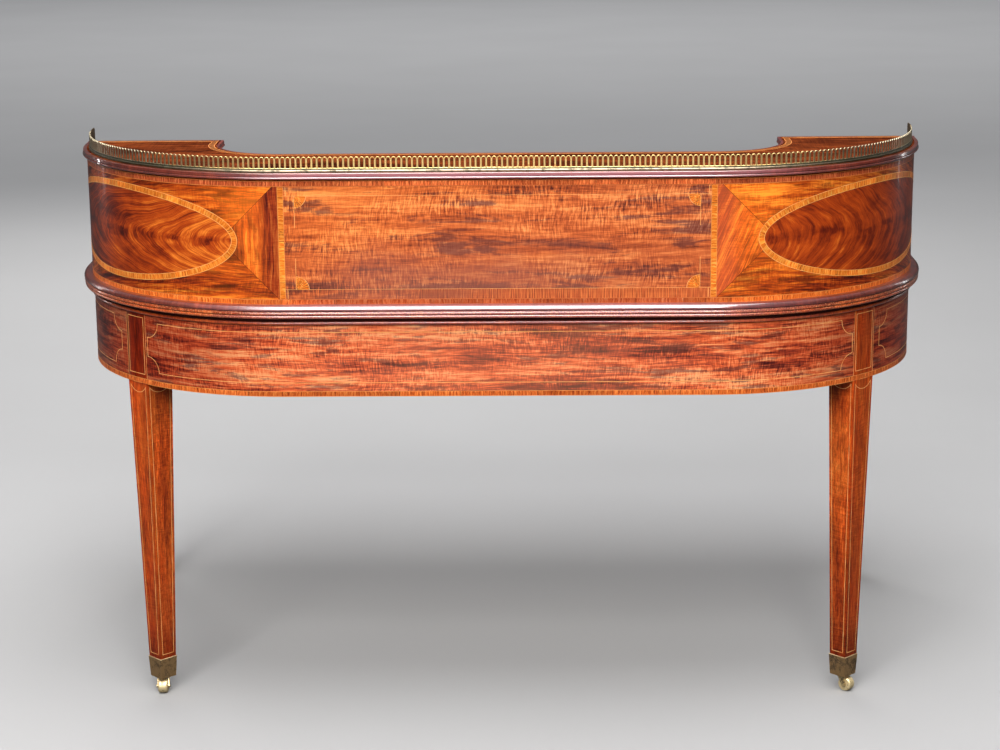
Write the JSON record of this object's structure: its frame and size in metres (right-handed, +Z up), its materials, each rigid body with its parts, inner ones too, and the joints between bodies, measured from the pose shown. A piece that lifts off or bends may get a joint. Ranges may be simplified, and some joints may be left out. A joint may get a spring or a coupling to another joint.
{
  "type": "carlton house desk",
  "caption": "D-plan writing desk with tapered legs on castors, frieze drawers and a low horseshoe superstructure with small drawers, concave cupboards and a pierced brass gallery.",
  "frame": {"origin": "floor level under the centre of the overall box", "axes": "+Z up, +Y towards the back that the picture shows, +X to the sitter's right"},
  "size_m": [1.502, 0.849, 0.9743],
  "materials": {
    "mahogany": "french polished, figured mahogany veneer",
    "mahogany_dark": "french polished, dark mahogany",
    "satinwood": "french polished, crossbanding and stringing",
    "drawer_lining": "waxed, plain grain",
    "brass": "tarnished, lacquer worn",
    "brass_polished": "polished by use",
    "leather": "waxed skiver with a tooled border"
  },
  "bodies": {
    "carcass": {"leg_rear_left": "mahogany", "leg_rear_right": "mahogany", "leg_front_left": "mahogany", "leg_front_right": "mahogany", "back_rail": "mahogany", "side_rail_left": "mahogany", "side_rail_right": "mahogany", "front_rail_upper": "mahogany", "front_rail_lower": "mahogany", "drawer_dividers": "mahogany", "desk_top": "mahogany", "upper_base": "mahogany", "back_panel": "mahogany", "end_panel_left": "mahogany", "end_panel_right": "mahogany", "upper_top": "mahogany", "bank_partition_left": "mahogany", "bank_partition_right": "mahogany", "wing_cheek_left": "mahogany", "wing_cheek_right": "mahogany", "edge_moulding": "mahogany_dark", "frieze_moulding": "mahogany_dark", "top_moulding": "mahogany_dark", "inner_moulding": "mahogany_dark", "drawer_runners": "drawer_lining", "bank_shelf": "drawer_lining", "bank_dividers": "drawer_lining", "wing_partitions": "drawer_lining", "wing_shelves": "drawer_lining", "gallery": "brass", "door_pivots": "brass", "castor_caps": "brass", "writing_leather": "leather"},
    "frieze_drawer_left": {"frieze_drawer_left": "mahogany", "handle_plates_left": "brass"},
    "bail_left": {"bail_left": "brass"},
    "frieze_drawer_centre": {"frieze_drawer_centre": "mahogany", "handle_plates_centre": "brass"},
    "bail_centre_left": {"bail_centre_left": "brass"},
    "bail_centre_right": {"bail_centre_right": "brass"},
    "frieze_drawer_right": {"frieze_drawer_right": "mahogany", "handle_plates_right": "brass"},
    "bail_right": {"bail_right": "brass"},
    "bank_drawer_left": {"bank_drawer_left": "mahogany"},
    "bank_drawer_centre": {"bank_drawer_centre": "mahogany"},
    "bank_drawer_right": {"bank_drawer_right": "mahogany"},
    "wing_drawer_left_lower": {"wing_drawer_left_lower": "mahogany"},
    "wing_drawer_left_upper": {"wing_drawer_left_upper": "mahogany"},
    "wing_drawer_right_lower": {"wing_drawer_right_lower": "mahogany"},
    "wing_drawer_right_upper": {"wing_drawer_right_upper": "mahogany"},
    "door_left": {"door_left": "mahogany"},
    "door_right": {"door_right": "mahogany"},
    "castor_yoke_rear_left": {"castor_yoke_rear_left": "brass"},
    "castor_wheel_rear_left": {"castor_wheel_rear_left": "brass_polished"},
    "castor_yoke_rear_right": {"castor_yoke_rear_right": "brass"},
    "castor_wheel_rear_right": {"castor_wheel_rear_right": "brass_polished"},
    "castor_yoke_front_left": {"castor_yoke_front_left": "brass"},
    "castor_wheel_front_left": {"castor_wheel_front_left": "brass_polished"},
    "castor_yoke_front_right": {"castor_yoke_front_right": "brass"},
    "castor_wheel_front_right": {"castor_wheel_front_right": "brass_polished"}
  },
  "joints": [
    {"name": "frieze_drawer_left_slide", "type": "slide", "parent": "carcass", "child": "frieze_drawer_left", "axis": [0, -1, 0], "range_m": [0, 0.36]},
    {"name": "bail_left_swing", "type": "hinge", "parent": "frieze_drawer_left", "child": "bail_left", "pos_m": [-0.5115, -0.417, 0.645], "axis": [-1, 0, 0], "range_deg": [0, 85]},
    {"name": "frieze_drawer_centre_slide", "type": "slide", "parent": "carcass", "child": "frieze_drawer_centre", "axis": [0, -1, 0], "range_m": [0, 0.36]},
    {"name": "bail_centre_left_swing", "type": "hinge", "parent": "frieze_drawer_centre", "child": "bail_centre_left", "pos_m": [-0.165, -0.417, 0.645], "axis": [-1, 0, 0], "range_deg": [0, 85]},
    {"name": "bail_centre_right_swing", "type": "hinge", "parent": "frieze_drawer_centre", "child": "bail_centre_right", "pos_m": [0.165, -0.417, 0.645], "axis": [-1, 0, 0], "range_deg": [0, 85]},
    {"name": "frieze_drawer_right_slide", "type": "slide", "parent": "carcass", "child": "frieze_drawer_right", "axis": [0, -1, 0], "range_m": [0, 0.36]},
    {"name": "bail_right_swing", "type": "hinge", "parent": "frieze_drawer_right", "child": "bail_right", "pos_m": [0.5115, -0.417, 0.645], "axis": [-1, 0, 0], "range_deg": [0, 85]},
    {"name": "bank_drawer_left_slide", "type": "slide", "parent": "carcass", "child": "bank_drawer_left", "axis": [0, -1, 0], "range_m": [0, 0.15]},
    {"name": "bank_drawer_centre_slide", "type": "slide", "parent": "carcass", "child": "bank_drawer_centre", "axis": [0, -1, 0], "range_m": [0, 0.15]},
    {"name": "bank_drawer_right_slide", "type": "slide", "parent": "carcass", "child": "bank_drawer_right", "axis": [0, -1, 0], "range_m": [0, 0.15]},
    {"name": "wing_drawer_left_lower_slide", "type": "slide", "parent": "carcass", "child": "wing_drawer_left_lower", "axis": [0, -1, 0], "range_m": [0, 0.08]},
    {"name": "wing_drawer_left_upper_slide", "type": "slide", "parent": "carcass", "child": "wing_drawer_left_upper", "axis": [0, -1, 0], "range_m": [0, 0.08]},
    {"name": "wing_drawer_right_lower_slide", "type": "slide", "parent": "carcass", "child": "wing_drawer_right_lower", "axis": [0, -1, 0], "range_m": [0, 0.08]},
    {"name": "wing_drawer_right_upper_slide", "type": "slide", "parent": "carcass", "child": "wing_drawer_right_upper", "axis": [0, -1, 0], "range_m": [0, 0.08]},
    {"name": "door_left_hinge", "type": "hinge", "parent": "carcass", "child": "door_left", "pos_m": [-0.50929, 0.07101, 0.7395], "axis": [0, 0, -1], "range_deg": [0, 85]},
    {"name": "door_right_hinge", "type": "hinge", "parent": "carcass", "child": "door_right", "pos_m": [0.50929, 0.07101, 0.7395], "axis": [0, 0, 1], "range_deg": [0, 85]},
    {"name": "castor_swivel_rear_left", "type": "hinge", "parent": "carcass", "child": "castor_yoke_rear_left", "pos_m": [-0.60355, 0.27705, 0.029], "axis": [0, 0, 1], "continuous": true},
    {"name": "castor_roll_rear_left", "type": "hinge", "parent": "castor_yoke_rear_left", "child": "castor_wheel_rear_left", "pos_m": [-0.60985, 0.28197, 0.0125], "axis": [-0.6157, -0.788, 0], "continuous": true},
    {"name": "castor_swivel_rear_right", "type": "hinge", "parent": "carcass", "child": "castor_yoke_rear_right", "pos_m": [0.60355, 0.27705, 0.029], "axis": [0, 0, 1], "continuous": true},
    {"name": "castor_roll_rear_right", "type": "hinge", "parent": "castor_yoke_rear_right", "child": "castor_wheel_rear_right", "pos_m": [0.60327, 0.28504, 0.0125], "axis": [-0.9994, -0.0349, 0], "continuous": true},
    {"name": "castor_swivel_front_left", "type": "hinge", "parent": "carcass", "child": "castor_yoke_front_left", "pos_m": [-0.7055, -0.38, 0.029], "axis": [0, 0, 1], "continuous": true},
    {"name": "castor_roll_front_left", "type": "hinge", "parent": "castor_yoke_front_left", "child": "castor_wheel_front_left", "pos_m": [-0.7095, -0.37307, 0.0125], "axis": [-0.866, -0.5, 0], "continuous": true},
    {"name": "castor_swivel_front_right", "type": "hinge", "parent": "carcass", "child": "castor_yoke_front_right", "pos_m": [0.7055, -0.38, 0.029], "axis": [0, 0, 1], "continuous": true},
    {"name": "castor_roll_front_right", "type": "hinge", "parent": "castor_yoke_front_right", "child": "castor_wheel_front_right", "pos_m": [0.70757, -0.37227, 0.0125], "axis": [-0.9659, 0.2588, 0], "continuous": true}
  ]
}
